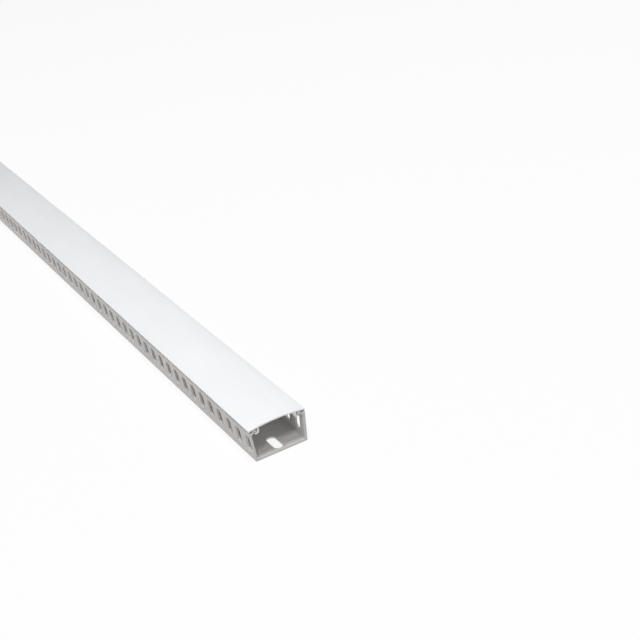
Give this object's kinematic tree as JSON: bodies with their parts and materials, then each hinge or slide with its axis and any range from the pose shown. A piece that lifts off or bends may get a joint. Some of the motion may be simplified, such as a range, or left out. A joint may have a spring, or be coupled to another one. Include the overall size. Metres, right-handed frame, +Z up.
{
  "type": "slotted wire duct",
  "caption": "Straight PVC wire duct: channel base with obround wire slots in both walls, fixing slots in its floor and a crowned clip-on cover.",
  "frame": {"origin": "on the underside of the floor, at the middle of its length and width", "axes": "+X along the duct towards the cut end that is seen, +Y across to the right wall, +Z up from the floor to the cover"},
  "size_m": [1, 0.0436, 0.0269],
  "materials": {
    "base_pvc": "satin extruded rigid PVC, light grey",
    "cover_pvc": "smooth extruded rigid PVC, off-white"
  },
  "bodies": {
    "base": {"channel_base": "base_pvc"},
    "cover": {"snap_cover": "cover_pvc"}
  },
  "joints": [
    {"name": "cover_slide", "type": "slide", "parent": "base", "child": "cover", "axis": [1, 0, 0], "range_m": [-1, 1]}
  ]
}
